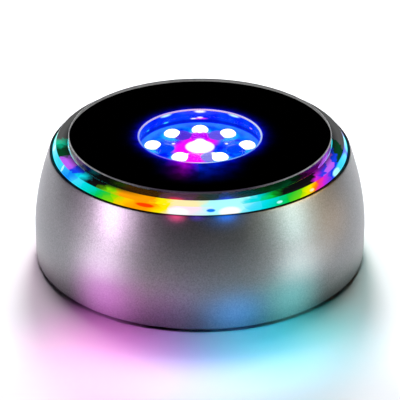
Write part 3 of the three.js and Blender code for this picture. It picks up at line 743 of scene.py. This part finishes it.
def carried_nodes():
    """Softens and colours every CAD node that no new piece replaces, by its material slot."""
    looks = {
        "black_abs": plastic_look("black_abs", (0.012, 0.012, 0.013), (0.022, 0.022, 0.024)),
        "dark_abs": plastic_look("dark_abs", (0.03, 0.03, 0.034), (0.05, 0.05, 0.055)),
        "white_abs": plastic_look("white_abs", (0.7, 0.7, 0.68), (0.8, 0.8, 0.78)),
        "white_board": plastic_look("white_board", (0.75, 0.76, 0.76), (0.86, 0.86, 0.86), (0.3, 0.45)),
        "gear_nylon": plastic_look("gear_nylon", (0.78, 0.75, 0.66), (0.86, 0.84, 0.76), (0.35, 0.5)),
        "circuit_board": plastic_look("circuit_board", (0.01, 0.09, 0.03), (0.03, 0.17, 0.07), (0.3, 0.5)),
        "rubber": plastic_look("rubber", (0.012, 0.012, 0.012), (0.025, 0.025, 0.025), (0.7, 0.9),
                               1800, 0.00006),
        "cell_jacket": plastic_look("cell_jacket", (0.03, 0.11, 0.32), (0.05, 0.16, 0.42), (0.25, 0.35)),
        "steel": metal_look("steel", (0.5, 0.5, 0.51), (0.7, 0.7, 0.71)),
        "brass": metal_look("brass", (0.6, 0.44, 0.15), (0.78, 0.58, 0.26)),
    }
    for part in frame["record"]["subparts"]:
        look = looks.get(part["material_slot"])
        if look is None:
            continue
        piece = soften(part["node"], 0 if "spring" in part["node"] else BEVEL)
        piece.data.materials.clear()
        piece.data.materials.append(look.material)


# ---- stage --------------------------------------------------------------------------------
FLOOR_HALF = 4                    # metres from the middle to an edge
AIM_LIGHTS = (0, 0, 0.02)
KEY_DISTANCE, SHEEN_DISTANCE = 0.6, 0.45
GLOW_SPREAD, GLOW_LEAN, GLOW_HEIGHT = 1.3, 40, 0.3
KEYS = [                          # name, bearing, elevation, size, power, tint
    ("back_rose", -160, 57, 0.20, 2.5, (1.0, 0.82, 0.97)),
    ("back_cyan", 160, 57, 0.20, 2.1, (0.72, 1.0, 1.0)),
    ("back_low", 180, 35, 0.12, 4.0, (0.92, 0.9, 0.88))]
SHEENS = [                        # name, bearing, elevation, width, power, tint
    ("left_strip", -60, 8, 0.14, 0.9, (1.0, 0.7, 0.97)),
    ("left_high", -66, 26, 0.10, 0.4, (1.0, 0.95, 0.98)),
    ("right_strip", 64, 8, 0.13, 0.5, (0.72, 1.0, 0.95)),
    ("right_high", 64, 26, 0.09, 0.36, (1.0, 0.93, 0.66)),
    ("right_warm", 80, 24, 0.08, 0.6, (1.0, 0.55, 0.15))]
SHEEN_TALL = 0.13
GLOWS = [                         # name, x, y in millimetres, reach in degrees, power, tint
    ("glow_rose", -29, -62, 7, 4.6, (1.0, 0.16, 0.92)),
    ("glow_peach", -37, -76, 9, 1.6, (1.0, 0.25, 0.1)),
    ("glow_violet", -9, -72, 8, 3.4, (0.66, 0.36, 1.0)),
    ("glow_azure", 9, -73, 8, 3.2, (0.2, 0.7, 1.0)),
    ("glow_blue", 12, -58, 6, 2.0, (0.0, 0.25, 1.0)),
    ("glow_cyan", 27, -57, 7, 4.4, (0.0, 0.9, 1.0)),
    ("pool_left", -94, -66, 10, 46, (0.98, 0.96, 1.0)),
    ("pool_right", 94, -66, 10, 44, (0.95, 1.0, 0.98))]


def towards(bearing, distance, elevation):
    """Point at a bearing from the front (-Y) towards +X, and an elevation."""
    turn, rise = math.radians(bearing), math.radians(elevation)
    flat = distance * math.cos(rise)
    return Vector((flat * math.sin(turn), -flat * math.cos(turn), distance * math.sin(rise)))


def place_light(lamp, place, target, on_matt, in_gloss):
    """Aims a light; it lights matt surfaces, shows in glossy ones, or both."""
    lamp.location = place
    lamp.rotation_euler = (Vector(target) - Vector(place)).to_track_quat("-Z", "Y").to_euler()
    lamp.visible_camera = False
    lamp.visible_transmission = False
    lamp.visible_diffuse = on_matt
    lamp.visible_glossy = in_gloss
    bpy.context.scene.collection.objects.link(lamp)


def softbox(name, place, size, power, tint, sheen_on=None):
    """Soft area light on matt surfaces, or a sheen on one collection's glossy ones."""
    data = bpy.data.lights.new(name, "AREA")
    data.shape = "RECTANGLE"
    data.size, data.size_y = size
    data.energy = power
    data.color = tint
    lamp = bpy.data.objects.new(name, data)
    place_light(lamp, place, AIM_LIGHTS, sheen_on is None, sheen_on is not None)
    if sheen_on:
        lamp.light_linking.receiver_collection = sheen_on


def floor_glow(name, x, y, reach, power, tint):
    """Soft round pool of light on the floor at x, y millimetres, from above and in front."""
    data = bpy.data.lights.new(name, "SPOT")
    data.energy = power
    data.color = tint
    data.spot_size = math.radians(reach)
    data.spot_blend = 1.0
    data.shadow_soft_size = 0.02
    place = (x * GLOW_SPREAD * MM, (y - GLOW_LEAN) * MM, GLOW_HEIGHT)
    place_light(bpy.data.objects.new(name, data), place, (x * MM, y * MM, 0), True, False)


def lights():
    """Key lights from behind, sheens on the silver shell, and the lamps' glow on the floor."""
    for name, bearing, elevation, size, power, tint in KEYS:
        softbox(name, towards(bearing, KEY_DISTANCE, elevation), (size, size), power, tint)
    shells = bpy.data.collections.new("silver_shells")
    shells.objects.link(bpy.data.objects["silver_shell"])
    for name, bearing, elevation, width, power, tint in SHEENS:
        place = towards(bearing, SHEEN_DISTANCE, elevation)
        softbox(name, place, (width, SHEEN_TALL), power, tint, shells)
    for glow in GLOWS:
        floor_glow(*glow)


def world():
    """Plain white, seen only directly: the lights do the lighting."""
    scene = bpy.context.scene
    scene.world = bpy.data.worlds.new("studio")
    scene.world.use_nodes = True
    nodes, links = scene.world.node_tree.nodes, scene.world.node_tree.links
    path = nodes.new("ShaderNodeLightPath")
    links.new(path.outputs["Is Camera Ray"], nodes["Background"].inputs["Strength"])
    nodes["Background"].inputs["Color"].default_value = (0.98, 0.98, 0.98, 1)


def floor():
    """Plain pale floor."""
    look = Look("pale_floor")
    cloud = look.noise(6, 3)
    look.set(Base_Color=look.mix(cloud, (0.86, 0.86, 0.86, 1), (0.89, 0.89, 0.89, 1)))
    look.set(Roughness=0.35, Specular_IOR_Level=0.35)
    mesh = bmesh.new()
    bmesh.ops.create_grid(mesh, x_segments=1, y_segments=1, size=FLOOR_HALF)
    ground = finished("floor", mesh)
    ground.data.materials.append(look.material)


def camera():
    """Camera at the object's front, looking down on it."""
    data = bpy.data.cameras.new("camera")
    data.lens = LENS
    data.sensor_width = SENSOR
    data.clip_start = 0.01
    eye = bpy.data.objects.new("camera", data)
    back = Vector((0, -math.cos(CAMERA_ELEVATION), math.sin(CAMERA_ELEVATION)))
    eye.location = AIM + back * CAMERA_DISTANCE
    eye.rotation_euler = (math.pi / 2 - CAMERA_ELEVATION, 0, 0)
    bpy.context.scene.collection.objects.link(eye)
    bpy.context.scene.camera = eye


bpy.context.scene.view_settings.view_transform = "Standard"
camera()
housing()
clear_pieces()
well()
carried_nodes()
floor()
lights()
world()
